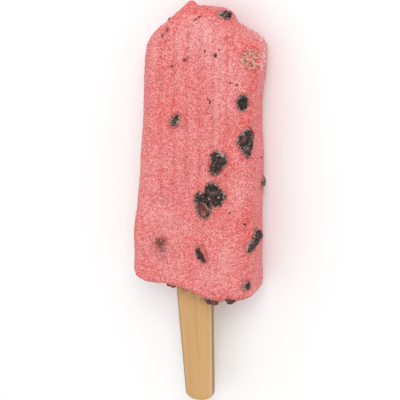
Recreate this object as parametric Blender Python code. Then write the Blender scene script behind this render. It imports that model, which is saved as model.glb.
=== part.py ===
"""An ice pop: a fluted slab of pink frozen fruit cream with whole small berries in it, on a tapered wooden stick.

Run it with  blender --background --python part.py

The pop lies on its flat back. +Z points out of the shown face, +Y runs to the tip of the ice, and the stick
leaves the ice along -Y. The origin is on the back face, under the middle of the slab. Units are metres.
"""

import math
from typing import NamedTuple

import bmesh
import bpy
from mathutils import Matrix, Vector, noise
from mathutils.bvhtree import BVHTree

# ---------------------------------------------------------------- driving sizes
BASE_Y = -0.0510             # the base
TIP_Y = 0.0498               # the top of the cap
SLAB_MIDDLE_Z = 0.0104       # height of the plane that the stick lies in
BASE_CORNER_LEFT = 0.0056    # roundings of the base seen from the front
BASE_CORNER_RIGHT = 0.0038
BASE_EDGE = 0.0032           # rounding of the base seen from the side
BASE_STEP = 0.0025           # how much shorter the slab is left of the stick
BASE_SWELL = 0.0019          # how far the base swells out right of the stick
BASE_SWELL_X = 0.0086
BASE_SWELL_SPREAD = 0.0034
BASE_REACH = 0.0120          # how far up the slab the two of them carry

# The mould's flutes, the same on the shown face and on the back.
FLUTE_COUNT = 6
FLUTE_PITCH = 0.0047
FLUTE_HALF_WIDTH = 0.0009
FLUTE_DEPTH = 0.00050
FLUTE_SLANT = 0.030          # how far they shift across, per metre towards the base
FLUTE_START_Y = -0.0150      # the flutes' lower ends
FLUTE_END_Y = 0.0440
FLUTE_FADE = 0.0050
FACE_MARGIN = 0.0003         # least flat left beside the outer flutes

# The stick: broad and thick, narrowing towards the hand.
STICK_EXPOSED = 0.0458
STICK_EMBEDDED = 0.0580
STICK_WIDTH_AT_ICE = 0.0136
STICK_WIDTH_AT_END = 0.0106
STICK_THICKNESS = 0.0044
STICK_EDGE = 0.0012
STICK_LEAN = math.radians(4.0)
STICK_ROOT = Vector((-0.0018, -0.0500, 0.0112))

# The pulled tip that stands on the cap.
PEAK_FOOT = Vector((-0.0068, 0.0470, 0.0090))
PEAK_TOP = Vector((-0.0056, 0.0517, 0.0082))
PEAK_FOOT_RADIUS = 0.0038
PEAK_TOP_RADIUS = 0.0005
PEAK_SIDES = 14

CLEARANCE = 0.0003           # between the ice and what is frozen into it
CORNER_STEPS = 4             # facets of each rounded corner of a section
SIDE_STEPS = 3
END_SHARES = (0.30, 0.66)    # sizes of the rings that close the flat ends
BACK_SETBACK = 0.0002        # how far under the back's skin its pressed berries end
BERRY_SEGMENTS = 10
BERRY_RINGS = 7


class Station(NamedTuple):
    """One cross section of the slab: where it is, how far it reaches and how round its corners are."""

    y: float
    left: float
    right: float
    back: float
    front: float
    corner: float


# Base to tip. The sides spread towards the base, and the shoulders step in to the narrow cap.
STATIONS = (
    Station(-0.0510, 0.0231, 0.0222, 0.0000, 0.0228, 0.0060),
    Station(-0.0390, 0.0229, 0.0214, 0.0000, 0.0226, 0.0063),
    Station(-0.0260, 0.0227, 0.0212, 0.0000, 0.0223, 0.0065),
    Station(-0.0110, 0.0216, 0.0212, 0.0000, 0.0219, 0.0066),
    Station(0.0040, 0.0206, 0.0204, 0.0000, 0.0215, 0.0066),
    Station(0.0180, 0.0203, 0.0198, 0.0000, 0.0211, 0.0065),
    Station(0.0275, 0.0203, 0.0204, 0.0000, 0.0206, 0.0065),
    Station(0.0340, 0.0201, 0.0207, 0.0001, 0.0202, 0.0065),
    Station(0.0380, 0.0193, 0.0206, 0.0005, 0.0198, 0.0063),
    Station(0.0410, 0.0175, 0.0186, 0.0013, 0.0192, 0.0059),
    Station(0.0434, 0.0152, 0.0141, 0.0024, 0.0185, 0.0055),
    Station(0.0452, 0.0129, 0.0110, 0.0035, 0.0179, 0.0051),
    Station(0.0470, 0.0113, 0.0101, 0.0043, 0.0171, 0.0047),
    Station(0.0487, 0.0097, 0.0090, 0.0052, 0.0161, 0.0042),
    Station(0.0498, 0.0078, 0.0071, 0.0064, 0.0146, 0.0032),
)


class Berry(NamedTuple):
    """One berry: a point inside the slab, the way out to the skin, its size and how it lies."""

    name: str
    inside: tuple[float, float, float]
    outward: tuple[float, float, float]
    size: tuple[float, float, float]      # across, along, and deep
    turn: float                           # degrees, about the way out
    proud: float                          # how far it stands out of the ice, before any pressing


FRONT, BACK = (0.0, 0.0, 1.0), (0.0, 0.0, -1.0)
LEFT, RIGHT = (-1.0, 0.0, 0.0), (1.0, 0.0, 0.0)
BASE, TIP = (0.0, -1.0, 0.0), (0.0, 1.0, 0.0)
MID = SLAB_MIDDLE_Z

BERRIES = (
    # The shown face, from the tip down.
    Berry("berry_cap", (0.0060, 0.0434, 0.0106), (0.30, 0.75, 0.59), (0.0050, 0.0044, 0.0042), 25, 0.0013),
    Berry("berry_upper_right", (0.0126, 0.0209, 0.0126), (0.50, 0.0, 0.87), (0.0056, 0.0074, 0.0050), 6, 0.0012),
    Berry("berry_right", (0.0137, 0.0075, 0.0128), (0.55, 0.0, 0.84), (0.0066, 0.0108, 0.0056), -8, 0.0013),
    Berry("berry_upper_left", (-0.0068, 0.0123, MID), FRONT, (0.0044, 0.0072, 0.0044), -30, 0.0008),
    Berry("berry_middle", (0.0091, -0.0012, MID), FRONT, (0.0076, 0.0092, 0.0060), -16, 0.0014),
    Berry("berry_pair_high", (0.0081, -0.0124, MID), FRONT, (0.0078, 0.0098, 0.0064), 20, 0.0015),
    Berry("berry_pair_low", (0.0042, -0.0166, MID), FRONT, (0.0068, 0.0104, 0.0058), 14, 0.0014),
    Berry("berry_low_left", (-0.0111, -0.0318, MID), FRONT, (0.0048, 0.0044, 0.0040), 0, 0.0006),
    Berry("berry_low_middle", (0.0040, -0.0342, MID), FRONT, (0.0050, 0.0072, 0.0042), 18, 0.0006),
    Berry("berry_right_edge", (0.0144, -0.0292, 0.0112), (0.85, 0.0, 0.53), (0.0060, 0.0074, 0.0050), -35, 0.0012),
    Berry("berry_low_right", (0.0152, -0.0451, 0.0140), (0.58, 0.0, 0.81), (0.0044, 0.0046, 0.0040), -20, 0.0008),
    Berry("berry_right_side", (0.0133, -0.0106, 0.0072), RIGHT, (0.0052, 0.0066, 0.0044), 0, 0.0015),
    # The base, beside the stick.
    Berry("berry_base_near", (0.0078, -0.0430, 0.0196), (0.0, -1.0, 0.10), (0.0056, 0.0040, 0.0040), 10, 0.0010),
    Berry("berry_base_far", (0.0146, -0.0430, 0.0196), (0.0, -1.0, 0.10), (0.0048, 0.0036, 0.0036), -8, 0.0012),
    # The left side.
    Berry("berry_left_high", (-0.0113, 0.0236, 0.0118), LEFT, (0.0049, 0.0057, 0.0043), 10, 0.0010),
    Berry("berry_left_middle", (-0.0113, -0.0067, 0.0080), LEFT, (0.0059, 0.0070, 0.0047), -22, 0.0010),
    Berry("berry_left_low", (-0.0113, -0.0340, 0.0132), LEFT, (0.0047, 0.0053, 0.0042), 30, 0.0010),
    # The back, where the mould presses them flush.
    Berry("berry_back_high", (0.0075, 0.0263, MID), BACK, (0.0066, 0.0078, 0.0052), -15, 0.0012),
    Berry("berry_back_left", (-0.0118, 0.0160, MID), BACK, (0.0054, 0.0068, 0.0048), 25, 0.0011),
    Berry("berry_back_middle", (0.0042, 0.0019, MID), BACK, (0.0074, 0.0086, 0.0056), 5, 0.0013),
    Berry("berry_back_right", (0.0132, -0.0189, MID), BACK, (0.0058, 0.0066, 0.0048), -30, 0.0012),
    Berry("berry_back_low", (-0.0094, -0.0293, MID), BACK, (0.0068, 0.0080, 0.0052), 12, 0.0012),
)

# name: (base colour, roughness)
FINISHES = {
    "pink_ice": ((0.80, 0.27, 0.25, 1.0), 0.62),
    "berry_skin": ((0.10, 0.045, 0.045, 1.0), 0.50),
    "stick_wood": ((0.62, 0.38, 0.17, 1.0), 0.55),
}


# ---------------------------------------------------------------- scene and materials
def clear_scene():
    """Removes every object that Blender starts with."""
    for obj in list(bpy.data.objects):
        bpy.data.objects.remove(obj)


def make_collection(name):
    """Returns a new collection in the scene."""
    collection = bpy.data.collections.new(name)
    bpy.context.scene.collection.children.link(collection)
    return collection


def make_material(name):
    """Returns a Principled material with the colour and roughness listed for it."""
    colour, roughness = FINISHES[name]
    material = bpy.data.materials.new(name)
    material.use_nodes = True
    shader = material.node_tree.nodes["Principled BSDF"]
    shader.inputs["Base Color"].default_value = colour
    shader.inputs["Roughness"].default_value = roughness
    shader.inputs["Metallic"].default_value = 0.0
    material.diffuse_color = colour
    return material


def make_object(name, bm, collection, material=None):
    """Turns a bmesh into a named, smooth shaded object in a collection."""
    mesh = bpy.data.meshes.new(name)
    bm.to_mesh(mesh)
    bm.free()
    mesh.shade_smooth()
    obj = bpy.data.objects.new(name, mesh)
    collection.objects.link(obj)
    if material:
        mesh.materials.append(material)
    return obj


def as_cutter(obj):
    """Marks an object as a helper that isn't part of the model."""
    obj.hide_render = True
    obj.display_type = "WIRE"
    return obj


def add_boolean(obj, other, operation):
    """Adds an exact Boolean modifier to an object."""
    modifier = obj.modifiers.new(f"{operation.lower()}_{other.name}", "BOOLEAN")
    modifier.operation = operation
    modifier.object = other


# ---------------------------------------------------------------- the slab of ice
def station_at(y):
    """Returns the cross section at y, on a smooth curve through the listed stations."""
    last = len(STATIONS) - 2
    i = max(k for k in range(last + 1) if STATIONS[k].y <= y or k == 0)
    before, after = STATIONS[i], STATIONS[i + 1]
    earlier, later = STATIONS[max(i - 1, 0)], STATIONS[min(i + 2, last + 1)]
    gap = after.y - before.y
    t = min(max((y - before.y) / gap, 0.0), 1.0)
    values = [y]
    for a, b, c, d in zip(earlier[1:], before[1:], after[1:], later[1:]):
        leaving = (c - a) / (after.y - earlier.y) * gap
        arriving = (d - b) / (later.y - before.y) * gap
        values.append(
            (2 * t**3 - 3 * t**2 + 1) * b
            + (t**3 - 2 * t**2 + t) * leaving
            + (3 * t**2 - 2 * t**3) * c
            + (t**3 - t**2) * arriving
        )
    return Station(*values)


def arc_inset(distance, radius):
    """How far a rounded edge has drawn in at a distance from the face that it rounds into."""
    if distance >= radius:
        return 0.0
    return radius - math.sqrt(radius**2 - (radius - distance) ** 2)


def rounded_at_base(station):
    """Draws a station in where it lies on the rounded edge of the base."""
    height = station.y - BASE_Y
    deep = arc_inset(height, BASE_EDGE)
    return station._replace(
        left=station.left - arc_inset(height, BASE_CORNER_LEFT),
        right=station.right - arc_inset(height, BASE_CORNER_RIGHT),
        back=station.back + deep,
        front=station.front - deep,
        corner=max(station.corner - deep, 0.0030),
    )


def flute_fade(y):
    """1 along the flutes, falling smoothly to 0 past their two ends."""
    return smooth_step(-FLUTE_FADE, 0.0, min(y - FLUTE_START_Y, FLUTE_END_Y - y))


def face_points(y, middle, half_face):
    """Returns the (x, share of the flutes' depth) pairs across a face, left to right."""
    points = []
    for k in range(FLUTE_COUNT):
        centre = (k - (FLUTE_COUNT - 1) / 2) * FLUTE_PITCH - FLUTE_SLANT * y
        points += [(centre - FLUTE_HALF_WIDTH, 0.0), (centre, 1.0), (centre + FLUTE_HALF_WIDTH, 0.0)]
    reach = max(abs(x - middle) for x, _ in points)
    squeeze = min(1.0, (half_face - FACE_MARGIN) / reach)
    drawn = [(middle + (x - middle) * squeeze, depth) for x, depth in points]
    return [(middle - half_face, 0.0), *drawn, (middle + half_face, 0.0)]


def corner_points(centre_x, centre_z, radius, start):
    """Returns the points inside a quarter turn that runs clockwise from the start angle in degrees."""
    angles = [math.radians(start - 90 * k / CORNER_STEPS) for k in range(1, CORNER_STEPS)]
    return [(centre_x + radius * math.cos(a), centre_z + radius * math.sin(a)) for a in angles]


def section_points(station):
    """Returns the (x, z) points of one cross section, clockwise from the front left corner."""
    left, right, back, front = station.left, station.right, station.back, station.front
    radius = min(station.corner, (front - back) / 2 - 0.0002)
    low, high = back + radius, front - radius
    middle, half_face = (right - left) / 2, (right + left) / 2 - radius
    groove = FLUTE_DEPTH * flute_fade(station.y)
    face = face_points(station.y, middle, half_face)
    shown = [(x, front - groove * depth) for x, depth in face]
    under = [(x, back + groove * depth) for x, depth in reversed(face)]
    levels = [high + (low - high) * k / SIDE_STEPS for k in range(SIDE_STEPS + 1)]
    points = shown
    points += corner_points(right - radius, high, radius, 90)
    points += [(right, z) for z in levels]
    points += corner_points(right - radius, low, radius, 0)
    points += under
    points += corner_points(radius - left, low, radius, -90)
    points += [(-left, z) for z in reversed(levels)]
    points += corner_points(radius - left, high, radius, 180)
    return points


def ring_heights():
    """Returns the places of the cross sections: close together at the rounded ends, wider apart between."""
    steps = 5
    rounding = [BASE_Y + BASE_CORNER_LEFT * (1 - math.cos(math.pi / 2 * k / steps)) for k in range(steps)]
    straight = [BASE_Y + BASE_CORNER_LEFT + 0.0048 * k for k in range(18)]
    shoulder = [0.0378 + 0.0014 * k for k in range(8)]
    return rounding + straight + shoulder + [TIP_Y]


def smooth_step(low, high, value):
    """0 below low and 1 above high, with a smooth rise between."""
    t = min(max((value - low) / (high - low), 0.0), 1.0)
    return t * t * (3 - 2 * t)


def base_shift(x, y):
    """How far a point near the base moves along Y for the base's step and swell."""
    near = max(0.0, 1 - (y - BASE_Y) / BASE_REACH)
    step = BASE_STEP * (1 - smooth_step(-0.006, 0.008, x))
    swell = BASE_SWELL * math.exp(-(((x - BASE_SWELL_X) / BASE_SWELL_SPREAD) ** 2))
    return near * (step - swell)


def lumps(point):
    """A gentle unevenness, in metres, that leaves the flat back alone."""
    above_back = min(max((point.z - 0.002) / 0.006, 0.0), 1.0)
    return 0.00035 * above_back * noise.noise(point * 95.0)


def loft(rings):
    """Skins a list of closed rings, which all have the same number of points, and closes both ends."""
    bm = bmesh.new()
    made = [[bm.verts.new(point) for point in ring] for ring in rings]
    count = len(rings[0])
    for near, far in zip(made, made[1:]):
        for i in range(count):
            j = (i + 1) % count
            bm.faces.new((near[i], near[j], far[j], far[i]))
    for ring in (made[0], made[-1]):
        middle = bm.verts.new(sum((v.co for v in ring), Vector()) / count)
        for i in range(count):
            bm.faces.new((ring[i - 1], ring[i], middle))
    bmesh.ops.recalc_face_normals(bm, faces=bm.faces)
    return bm


def make_slab(collection, material):
    """Makes the fluted slab with its shoulders and cap, still without sockets."""
    heights = ring_heights()
    places = [(heights[0], share) for share in END_SHARES] + [(y, 1.0) for y in heights]
    places += [(heights[-1], share) for share in reversed(END_SHARES)]
    rings = []
    for y, share in places:
        station = rounded_at_base(station_at(y))
        centre = Vector(((station.right - station.left) / 2, y, (station.back + station.front) / 2))
        ring = []
        for x, z in section_points(station):
            point = Vector((x, y, z))
            out = Vector((x / 0.022, 0.0, (z - SLAB_MIDDLE_Z) / 0.011)).normalized()
            point = centre.lerp(point + out * lumps(point), share)
            point.y += base_shift(point.x, y)
            ring.append(point)
        rings.append(ring)
    return make_object("ice_body", loft(rings), collection, material)


def make_peak(collection):
    """Makes the small pulled tip that is joined to the cap."""
    axis = PEAK_TOP - PEAK_FOOT
    bm = bmesh.new()
    bmesh.ops.create_cone(
        bm,
        cap_ends=True,
        segments=PEAK_SIDES,
        radius1=PEAK_FOOT_RADIUS,
        radius2=PEAK_TOP_RADIUS,
        depth=axis.length,
    )
    turn = axis.to_track_quat("Z", "Y").to_matrix().to_4x4()
    bmesh.ops.transform(bm, verts=bm.verts, matrix=Matrix.Translation((PEAK_FOOT + PEAK_TOP) / 2) @ turn)
    return as_cutter(make_object("peak_form", bm, collection))


# ---------------------------------------------------------------- the stick
def stick_mesh(growth):
    """Makes the stick's outline as a solid with softened edges, grown on every side by a clearance.

    It is made along -Y from its root, flat in the XY plane.
    """
    half_root = STICK_WIDTH_AT_ICE / 2
    half_end = STICK_WIDTH_AT_END / 2
    outline = [(-half_root * 0.94, STICK_EMBEDDED), (half_root * 0.94, STICK_EMBEDDED), (half_root, 0.0)]
    straight = STICK_EXPOSED - half_end * 0.62
    turns = 10
    for k in range(turns + 1):
        angle = math.pi * k / turns
        outline.append((half_end * math.cos(angle), -straight - half_end * 0.62 * math.sin(angle)))
    outline.append((-half_root, 0.0))
    bm = bmesh.new()
    face = bm.faces.new([bm.verts.new((x, y, -STICK_THICKNESS / 2)) for x, y in outline])
    made = bmesh.ops.extrude_face_region(bm, geom=[face])
    risen = [v for v in made["geom"] if isinstance(v, bmesh.types.BMVert)]
    bmesh.ops.translate(bm, verts=risen, vec=(0, 0, STICK_THICKNESS))
    bmesh.ops.recalc_face_normals(bm, faces=bm.faces)
    rims = [e for e in bm.edges if abs(e.verts[0].co.z - e.verts[1].co.z) < 1e-6]
    bmesh.ops.bevel(bm, geom=rims, offset=STICK_EDGE, segments=3, profile=0.5, affect="EDGES")
    if growth:
        bm.normal_update()
        moves = [(v, v.normal * growth * 1.15) for v in bm.verts]
        for v, move in moves:
            v.co += move
    return bm


def place_stick(obj):
    """Leans the stick a little to one side about the place where it enters the ice."""
    obj.location = STICK_ROOT
    obj.rotation_euler = (0.0, 0.0, STICK_LEAN)
    return obj


# ---------------------------------------------------------------- the berries
def berry_mesh(berry, growth, flatten=False):
    """Makes one uneven berry about its own centre, grown on every side by a clearance.

    A flattened one is pressed level just under the skin of the ice, as a mould's wall leaves it.
    """
    bm = bmesh.new()
    bmesh.ops.create_uvsphere(bm, u_segments=BERRY_SEGMENTS, v_segments=BERRY_RINGS, radius=0.5)
    seed = Vector([ord(letter) % 17 for letter in berry.name[-3:]])
    size = Vector(berry.size)
    for v in bm.verts:
        unit = v.co.normalized()
        swell = 1 + 0.10 * noise.noise(unit * 1.7 + seed)
        v.co = Vector([unit[i] * (size[i] / 2 * swell + growth) for i in range(3)])
        if flatten:
            v.co.z = min(v.co.z, size.z / 2 - berry.proud - BACK_SETBACK)
    return bm


def berry_placement(berry, skin):
    """Returns the matrix that sets a berry in the skin of the slab, with its stated part standing out."""
    outward = Vector(berry.outward).normalized()
    hit, _, _, _ = skin.ray_cast(Vector(berry.inside), outward)
    centre = hit + outward * (berry.proud - berry.size[2] / 2)
    along = TIP if abs(outward.y) < 0.9 else FRONT
    across = Vector(along).cross(outward).normalized()
    upright = Matrix((across, outward.cross(across), outward)).transposed()
    return Matrix.Translation(centre) @ upright.to_4x4() @ Matrix.Rotation(math.radians(berry.turn), 4, "Z")


def make_berry(berry, skin, collection, cutters, material):
    """Makes a berry and the cutter for its socket, and returns the cutter."""
    placement = berry_placement(berry, skin)
    pressed = berry.outward == BACK
    solid = make_object(berry.name, berry_mesh(berry, 0.0, pressed), collection, material)
    solid.matrix_world = placement
    socket = as_cutter(make_object(f"{berry.name}_socket", berry_mesh(berry, CLEARANCE), cutters))
    socket.matrix_world = placement
    return socket


def main():
    """Builds the ice pop."""
    clear_scene()
    pop = make_collection("ice_pop")
    cutters = make_collection("cutters")
    materials = {name: make_material(name) for name in FINISHES}

    slab = make_slab(pop, materials["pink_ice"])
    skin_mesh = bmesh.new()
    skin_mesh.from_mesh(slab.data)
    skin = BVHTree.FromBMesh(skin_mesh)
    skin_mesh.free()

    add_boolean(slab, make_peak(cutters), "UNION")
    place_stick(make_object("stick", stick_mesh(0.0), pop, materials["stick_wood"]))
    slot = place_stick(as_cutter(make_object("stick_slot", stick_mesh(CLEARANCE), cutters)))
    add_boolean(slab, slot, "DIFFERENCE")
    for berry in BERRIES:
        socket = make_berry(berry, skin, pop, cutters, materials["berry_skin"])
        add_boolean(slab, socket, "DIFFERENCE")
    add_boolean(bpy.data.objects["berry_pair_low"], bpy.data.objects["berry_pair_high_socket"], "DIFFERENCE")


main()
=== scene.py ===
"""The looks of an ice pop: a fluted slab of pink frozen fruit cream with berries in it, on a wooden stick.

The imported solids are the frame. The slab's true skin, its frost, the berries, the loose skins and pips and
the stick are made here round those solids. The pop lies on its back, tip along +Y, shown face along +Z.
"""

import logging
import math
from dataclasses import dataclass, field
from enum import Enum
from itertools import product
from typing import NamedTuple

import bmesh
import bpy
import numpy as np
from mathutils import Matrix, Vector
from mathutils.bvhtree import BVHTree


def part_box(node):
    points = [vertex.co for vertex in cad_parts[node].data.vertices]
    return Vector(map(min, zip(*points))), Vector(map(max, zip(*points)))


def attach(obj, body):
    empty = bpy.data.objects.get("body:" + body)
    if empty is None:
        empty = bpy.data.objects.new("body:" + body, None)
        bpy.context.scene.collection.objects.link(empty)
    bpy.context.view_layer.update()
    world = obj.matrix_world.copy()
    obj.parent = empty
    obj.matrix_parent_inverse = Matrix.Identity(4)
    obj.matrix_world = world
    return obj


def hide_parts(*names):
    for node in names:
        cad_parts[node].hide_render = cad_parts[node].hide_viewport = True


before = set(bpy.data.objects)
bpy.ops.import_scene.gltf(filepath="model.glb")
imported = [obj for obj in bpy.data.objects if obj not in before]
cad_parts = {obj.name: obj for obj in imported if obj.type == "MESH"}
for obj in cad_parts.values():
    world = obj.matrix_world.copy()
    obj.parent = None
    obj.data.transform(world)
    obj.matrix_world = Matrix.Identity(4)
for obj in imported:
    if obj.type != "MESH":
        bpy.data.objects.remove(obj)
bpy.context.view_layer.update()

LOG = logging.getLogger("ice_pop")
Colour = tuple[float, float, float]
Place = tuple[float, float, float]
Span = tuple[float, float]
Feed = dict[int | str, object]
Array = np.ndarray
Material = bpy.types.Material
Mesh = bpy.types.Mesh
Piece = bpy.types.Object
Socket = bpy.types.NodeSocket
FRONT: Place = (0.0, 0.0, 1.0)
MM = 0.001
BARE_BELOW = 0.0008


# ---- numbers and fields
def ease(low: float, high: float, value: Array) -> Array:
    """A smooth rise.

    Args:
        low: Where it is still 0.
        high: Where it has reached 1.
        value: What is measured.

    Returns:
        0 to 1 for each value.
    """
    t = np.clip((value - low) / (high - low), 0.0, 1.0)
    return t * t * (3 - 2 * t)


def lattice(points: Array, frequency: float, seed: int) -> Array:
    """Smooth noise on a hashed lattice, the same on every run.

    Args:
        points: Places, one a row.
        frequency: Lattice cells in a metre.
        seed: Picks the pattern.

    Returns:
        A value from -1 to 1 for each place.
    """
    scaled = points * frequency + 1000.0
    cell = np.floor(scaled).astype(np.int64)
    t = scaled - cell
    t = t * t * (3 - 2 * t)
    total = np.zeros(len(points))
    for corner in product((0, 1), repeat=3):
        at = cell + np.array(corner)
        code = (at[:, 0] * 73856093) ^ (at[:, 1] * 19349663) ^ (at[:, 2] * 83492791) ^ (seed * 7368787)
        code = ((code ^ (code >> 13)) * 1274126177) & 0x7FFFFFFF
        code = code ^ (code >> 11)
        weight = np.prod(np.where(np.array(corner) == 1, t, 1 - t), axis=1)
        total += weight * ((code & 0xFFFF) / 32767.5 - 1)
    return total


def layered(points: Array, frequency: float, seed: int, layers: int = 3) -> Array:
    """Noise with finer noise on it.

    Args:
        points: Places, one a row.
        frequency: Cells in a metre of the coarsest layer.
        seed: Picks the pattern.
        layers: How many layers, each twice as fine and half as strong.

    Returns:
        A value of about -1 to 1 for each place.
    """
    total = sum(lattice(points, frequency * 2**k, seed + k) * 0.5**k for k in range(layers))
    return total / sum(0.5**k for k in range(layers))


def drawn_out(points: Array, share: float) -> Array:
    """Places squeezed along Y, so that noise read there is drawn out along the pop."""
    return points * np.array([1.0, share, 1.0])


def bell(value: Array, middle: float, width: float) -> Array:
    """1 where a value is at the middle, falling away smoothly, to about a third at one width from it."""
    return np.exp(-(((value - middle) / width) ** 2))


def spot(points: Array, centre: Place, radius: float) -> Array:
    """1 at a centre, falling away smoothly, to about a third at the radius."""
    return bell(np.linalg.norm(points - np.array(centre), axis=1), 0.0, radius)


def strip(points: Array, start: Place, end: Place, radius: float) -> Array:
    """1 along a line, falling away smoothly.

    Args:
        points: Places, one a row.
        start: One end of the line.
        end: Its other end.
        radius: Where it has fallen to about a third.

    Returns:
        The strength at each place.
    """
    first, along = np.array(start), np.array(end) - np.array(start)
    share = np.clip((points - first) @ along / (along @ along), 0.0, 1.0)
    return bell(np.linalg.norm(points - first - share[:, None] * along, axis=1), 0.0, radius)


# ---- meshes
def points_of(mesh: Mesh) -> Array:
    """Reads where a mesh's vertices are.

    Args:
        mesh: The mesh.

    Returns:
        Their places, one a row.
    """
    flat = np.empty(len(mesh.vertices) * 3)
    mesh.vertices.foreach_get("co", flat)
    return flat.reshape(-1, 3)


def normals_of(mesh: Mesh) -> Array:
    """Reads which way a mesh's vertices face.

    Args:
        mesh: The mesh.

    Returns:
        Their directions, one a row.
    """
    flat = np.empty(len(mesh.vertices) * 3)
    mesh.vertex_normals.foreach_get("vector", flat)
    return flat.reshape(-1, 3)


def write_points(mesh: Mesh, points: Array) -> None:
    """Puts a mesh's vertices at new places."""
    mesh.vertices.foreach_set("co", points.ravel())
    mesh.update()


def paint(mesh: Mesh, name: str, values: Array) -> None:
    """Stores a strength from 0 to 1 at each vertex, for a material to read."""
    layer = mesh.attributes.new(name, "FLOAT", "POINT")
    layer.data.foreach_set("value", np.clip(values, 0.0, 1.0).astype(np.float32))


def add_object(name: str, data: bpy.types.ID) -> Piece:
    """Puts a new object into the scene.

    Args:
        name: Its name.
        data: Its mesh, lamp or camera.

    Returns:
        The object, at the origin.
    """
    obj = bpy.data.objects.new(name, data)
    bpy.context.scene.collection.objects.link(obj)
    return obj


def place(name: str, mesh: Mesh, material: Material) -> Piece:
    """Makes a smooth shaded object.

    Args:
        name: Its name.
        mesh: Its mesh, already in place.
        material: Its only material.

    Returns:
        The object, at the origin.
    """
    mesh.materials.clear()
    mesh.materials.append(material)
    mesh.shade_smooth()
    return add_object(name, mesh)


def finished_mesh(obj: Piece) -> Mesh:
    """Applies an object's modifiers.

    Args:
        obj: An object with live modifiers.

    Returns:
        A plain mesh of its result, which the object now holds.
    """
    bpy.context.view_layer.update()
    graph = bpy.context.evaluated_depsgraph_get()
    mesh = bpy.data.meshes.new_from_object(obj.evaluated_get(graph))
    obj.modifiers.clear()
    obj.data = mesh
    return mesh


def mesh_of(shape: bmesh.types.BMesh, name: str) -> Mesh:
    """Turns a finished shape into a mesh and frees the shape.

    Args:
        shape: The shape.
        name: The mesh's name.

    Returns:
        The mesh.
    """
    mesh = bpy.data.meshes.new(name)
    shape.to_mesh(mesh)
    shape.free()
    return mesh


def copy_of_node(node: str, subdivisions: int) -> Mesh:
    """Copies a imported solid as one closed, finer and rounder mesh.

    Args:
        node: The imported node's name.
        subdivisions: How many times each face is split.

    Returns:
        A new mesh in the node's place.
    """
    shape = bmesh.new()
    shape.from_mesh(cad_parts[node].data)
    bmesh.ops.remove_doubles(shape, verts=shape.verts, dist=1e-6)
    helper = add_object(f"{node}_helper", mesh_of(shape, f"{node}_copy"))
    rounder = helper.modifiers.new("rounder", "SUBSURF")
    rounder.levels = rounder.render_levels = subdivisions
    result = finished_mesh(helper)
    bpy.data.objects.remove(helper)
    return result


def tree_of(mesh: Mesh) -> BVHTree:
    """A search tree over a mesh's faces."""
    return BVHTree.FromPolygons([v.co for v in mesh.vertices], [list(p.vertices) for p in mesh.polygons])


def keep(obj: Piece, slot: str, *nodes: str) -> None:
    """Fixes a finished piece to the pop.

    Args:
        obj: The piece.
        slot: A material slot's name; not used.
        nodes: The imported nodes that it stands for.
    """
    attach(obj, "root")
    if nodes:
        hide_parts(*nodes)
    LOG.info("%s: %d faces", obj.name, len(obj.data.polygons))


# ---- finishes
def feed(tree: bpy.types.NodeTree, node: bpy.types.Node, inputs: Feed) -> None:
    """Links or sets a node's inputs.

    Args:
        tree: The tree that holds the node.
        node: The node.
        inputs: What each input gets, by its name or number: another node's output, or a plain value.
    """
    for key, value in inputs.items():
        if isinstance(value, Socket):
            tree.links.new(value, node.inputs[key])
        else:
            node.inputs[key].default_value = value


def add_node(
    tree: bpy.types.NodeTree, kind: str, output: int | str, inputs: Feed, **settings: str
) -> Socket:
    """Adds a node.

    Args:
        tree: A material's tree or a Geometry Nodes tree.
        kind: The node's type.
        output: The output that is wanted, by its name or number.
        inputs: What each input gets.
        **settings: The node's own settings.

    Returns:
        The wanted output.
    """
    node = tree.nodes.new(kind)
    for name, value in settings.items():
        setattr(node, name, value)
    feed(tree, node, inputs)
    return node.outputs[output]


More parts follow.
